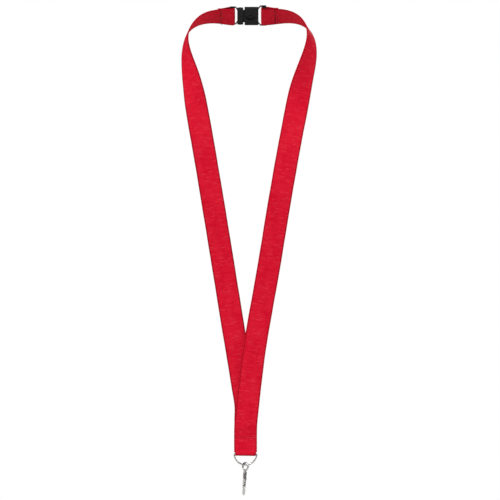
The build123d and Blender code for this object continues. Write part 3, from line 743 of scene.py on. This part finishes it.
patch = put(wear_and_edge_highlight, "ShaderNodeTexNoise", {
    "Vector": place.outputs["Object"], "Scale": given["Patch Scale"], "Detail": 4})
grain = put(wear_and_edge_highlight, "ShaderNodeTexNoise", {
    "Vector": place.outputs["Object"], "Scale": given["Grain Scale"], "Detail": 2})
broken = put(wear_and_edge_highlight, "ShaderNodeMapRange", {
    "Value": patch.outputs[0], "From Min": 0.35, "From Max": 0.65})
# Edges, broken up in patches: where the materials paint an edge highlight.
edge_highlight_mask = calculate(wear_and_edge_highlight, "MULTIPLY", sharp.outputs[0], broken.outputs[0])
wear_and_edge_highlight.links.new(edge_highlight_mask, wanted["Edge"])
wear_and_edge_highlight.links.new(grain.outputs[0], wanted["Grain"])
wear_and_edge_highlight.links.new(patch.outputs[0], wanted["Patch"])

PLASTIC_BLACK = (0.0065, 0.0060, 0.0062, 1)
PLASTIC_SOFT = (0.011, 0.0102, 0.0105, 1)
PLASTIC_EDGE_HIGHLIGHT = (0.055, 0.053, 0.053, 1)
EDGE_HIGHLIGHT_SHARE = 0.7
RUBBED_SMOOTHER = 0.14
moulded_plastic, tree = new_material("moulded_plastic")
wear_and_highlight = put(tree, "ShaderNodeGroup", {
    "Edge Radius": 0.35 * MM, "Grain Scale": 4500, "Patch Scale": 260}, node_tree=wear_and_edge_highlight)
mottled = mix_colours(tree, wear_and_highlight.outputs["Patch"], PLASTIC_BLACK, PLASTIC_SOFT)
# Paler edges: painted edge highlight.
edge_highlight_share = calculate(tree, "MULTIPLY", wear_and_highlight.outputs["Edge"], EDGE_HIGHLIGHT_SHARE)
plastic_with_highlight = mix_colours(tree, edge_highlight_share, mottled, PLASTIC_EDGE_HIGHLIGHT)
dull = put(tree, "ShaderNodeMapRange", {
    "Value": wear_and_highlight.outputs["Patch"], "To Min": 0.42, "To Max": 0.60})
smoother = calculate(tree, "MULTIPLY", wear_and_highlight.outputs["Edge"], RUBBED_SMOOTHER)
rough = calculate(tree, "SUBTRACT", dull.outputs[0], smoother)
bump = put(tree, "ShaderNodeBump", {
    "Strength": 0.22, "Distance": 0.02 * MM, "Height": wear_and_highlight.outputs["Grain"]})
shader = put(tree, "ShaderNodeBsdfPrincipled", {
    "Base Color": plastic_with_highlight, "Roughness": rough, "Normal": bump.outputs[0],
    "Specular IOR Level": 0.14})
put(tree, "ShaderNodeOutputMaterial", {"Surface": shader.outputs[0]})


def finish_node(name, material):
    """Gives a CAD part its material."""
    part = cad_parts[name]
    part.data.materials.clear()
    part.data.materials.append(material)


finish_node("buckle_male_half", moulded_plastic)
finish_node("buckle_female_half", moulded_plastic)

# ---------------------------------------------------------------------------------------------
# Ring and swivel eye: bright nickel on steel wire. The bent wire has drawing lines and fine
# scratches, and is greyer in patches.
NICKEL_BRIGHT = (0.62, 0.61, 0.59, 1)
NICKEL_DULL = (0.40, 0.39, 0.38, 1)
METAL_GRAIN = 2600
SCRATCH_SCALE = 900
SCRATCH_RUN = (1, 1, 9)       # the scratches lie across, close together down the metal


def plated_metal(name, bright, dull, smooth, coarse, edge_radius, patch_scale):
    """Plated metal: smooth where it is polished, duller in patches, with a painted highlight that
    makes its edges bright.
    """
    material, tree = new_material(name)
    wear_and_highlight = put(tree, "ShaderNodeGroup", {
        "Edge Radius": edge_radius, "Grain Scale": METAL_GRAIN, "Patch Scale": patch_scale},
        node_tree=wear_and_edge_highlight)
    share = put(tree, "ShaderNodeMapRange", {
        "Value": wear_and_highlight.outputs["Patch"], "From Min": 0.35, "From Max": 0.7})
    tone = mix_colours(tree, share.outputs[0], bright, dull)
    # Brighter edges: painted edge highlight.
    tone_with_highlight = mix_colours(tree, wear_and_highlight.outputs["Edge"], tone, bright)
    place = put(tree, "ShaderNodeTexCoord")
    drawn = put(tree, "ShaderNodeMapping", {
        "Vector": place.outputs["Object"], "Scale": SCRATCH_RUN})
    scratch = put(tree, "ShaderNodeTexNoise", {
        "Vector": drawn.outputs[0], "Scale": SCRATCH_SCALE, "Detail": 5})
    rough = put(tree, "ShaderNodeMapRange", {
        "Value": scratch.outputs[0], "From Min": 0.3, "From Max": 0.75,
        "To Min": smooth, "To Max": coarse})
    scratched = calculate(tree, "MULTIPLY", scratch.outputs[0], 0.5)
    height = calculate(tree, "ADD", scratched, wear_and_highlight.outputs["Grain"])
    bump = put(tree, "ShaderNodeBump", {
        "Strength": 0.15, "Distance": 0.02 * MM, "Height": height})
    shader = put(tree, "ShaderNodeBsdfPrincipled", {
        "Base Color": tone_with_highlight, "Metallic": 1.0,
        "Roughness": rough.outputs[0], "Normal": bump.outputs[0]})
    put(tree, "ShaderNodeOutputMaterial", {"Surface": shader.outputs[0]})
    return material


bright_nickel = plated_metal("bright_nickel", NICKEL_BRIGHT, NICKEL_DULL, 0.14, 0.30, 0.2 * MM, 420)
finish_node("d_ring", bright_nickel)
finish_node("swivel_eye", bright_nickel)

# ---------------------------------------------------------------------------------------------
# Clasp body and gate: zinc castings, tumbled so that their edges are round, then nickel
# plated. The plating is satin on the faces, and a painted edge highlight makes it paler along the
# edges.
CAST_BRIGHT = (0.72, 0.71, 0.69, 1)
CAST_DULL = (0.46, 0.45, 0.44, 1)
cast_nickel = plated_metal("cast_nickel", CAST_BRIGHT, CAST_DULL, 0.16, 0.34, 0.35 * MM, 300)
finish_node("clasp_body", cast_nickel)
finish_node("clasp_gate", cast_nickel)

# ---------------------------------------------------------------------------------------------
# Gate pin: a plain steel rivet through both cheeks, its two heads peened into low domes.
RING_BOW = 9.9 * MM           # from the ring's bar down to the middle of its bow
CLASP_HANG = Vector((0, CHEST_Y, RING_BAR_Z - RING_BOW))
CLASP_LEAN = math.radians(3.5)
CLASP_YAW = math.radians(-86)
PIN_RADIUS = 0.55 * MM
PIN_HALF = 1.4 * MM
PIN_PLACE = Vector((3.0, 0, -12.4)) * MM
PIN_DOME = 0.16 * MM


def clasp_place(local):
    """A place in the hanging clasp's own frame, with its yaw and lean."""
    turned = Quaternion((0, 0, 1), CLASP_YAW) @ local
    return CLASP_HANG + Quaternion((0, 1, 0), CLASP_LEAN) @ turned


def turned_piece(name, profile, centre, axis, seam, sides=40):
    """A part turned about an axis, from (radius, along) pairs; the first and last are on it."""
    vertices, faces = [], []
    for radius, along in profile[1:-1]:
        for k in range(sides):
            a = 2 * math.pi * k / sides
            spoke = seam * math.cos(a) + axis.cross(seam) * math.sin(a)
            vertices.append(clasp_place(centre + axis * along + spoke * radius))
    rings = len(profile) - 2
    for r in range(rings - 1):
        for k in range(sides):
            a, b = r * sides + k, r * sides + (k + 1) % sides
            faces.append((a, b, b + sides, a + sides))
    for end, ring_start in ((profile[0], 0), (profile[-1], (rings - 1) * sides)):
        tip = len(vertices)
        vertices.append(clasp_place(centre + axis * end[1]))
        for k in range(sides):
            a, b = ring_start + k, ring_start + (k + 1) % sides
            faces.append((tip, b, a) if ring_start == 0 else (tip, a, b))
    mesh = bpy.data.meshes.new(name)
    mesh.from_pydata(vertices, [], faces)
    mesh.polygons.foreach_set("use_smooth", np.ones(len(mesh.polygons), bool))
    piece = bpy.data.objects.new(name, mesh)
    bpy.context.scene.collection.objects.link(piece)
    return piece


dome = [(PIN_RADIUS * math.sin(a), PIN_DOME * math.cos(a)) for a in np.linspace(0, math.pi / 2, 7)]
profile = [(r, -PIN_HALF - up) for r, up in dome] + [(r, PIN_HALF + up) for r, up in dome[::-1]]
pin = turned_piece("gate_rivet", profile, PIN_PLACE, Vector((0, 1, 0)), Vector((1, 0, 0)))
rivet_steel = plated_metal("rivet_steel", NICKEL_BRIGHT, CAST_DULL, 0.2, 0.4, 0.1 * MM, 700)
pin.data.materials.append(rivet_steel)
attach(pin, "clasp")
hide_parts("gate_pin")

# ---------------------------------------------------------------------------------------------
# Gate spring: a tiny coil of music wire in the fork, between its roof and the gate's lobe.
SPRING_MIDDLE = Vector((1.55, 0, -11.45)) * MM
SPRING_RADIUS = 0.36 * MM
SPRING_HEIGHT = 0.9 * MM
SPRING_WIRE = 0.075 * MM
SPRING_TURNS = 4.5
SPRING_POINTS = 110
FLAT_END = 0.08               # of its length at each end, which is wound flat
made = ([], [], [])
points = []
for t in np.linspace(0, 1, SPRING_POINTS):
    a = 2 * math.pi * SPRING_TURNS * t
    wound = min(max((t - FLAT_END) / (1 - 2 * FLAT_END), 0), 1)
    eased = 0.5 - 0.5 * math.cos(math.pi * wound)
    rise = (eased - 0.5) * (SPRING_HEIGHT - 2 * SPRING_WIRE)
    spoke = Vector((math.cos(a), math.sin(a), 0)) * SPRING_RADIUS
    points.append(clasp_place(SPRING_MIDDLE + spoke + Vector((0, 0, rise))))
thread_tube(points, [SPRING_WIRE] * len(points), *made)
mesh = bpy.data.meshes.new("gate_coil")
mesh.from_pydata(made[0], [], made[1])
mesh.polygons.foreach_set("use_smooth", np.ones(len(mesh.polygons), bool))
coil = bpy.data.objects.new("gate_coil", mesh)
bpy.context.scene.collection.objects.link(coil)
spring_wire = plated_metal("spring_wire", NICKEL_BRIGHT, CAST_DULL, 0.22, 0.38, 0.05 * MM, 900)
coil.data.materials.append(spring_wire)
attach(coil, "clasp")
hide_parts("gate_spring")
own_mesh(coil)
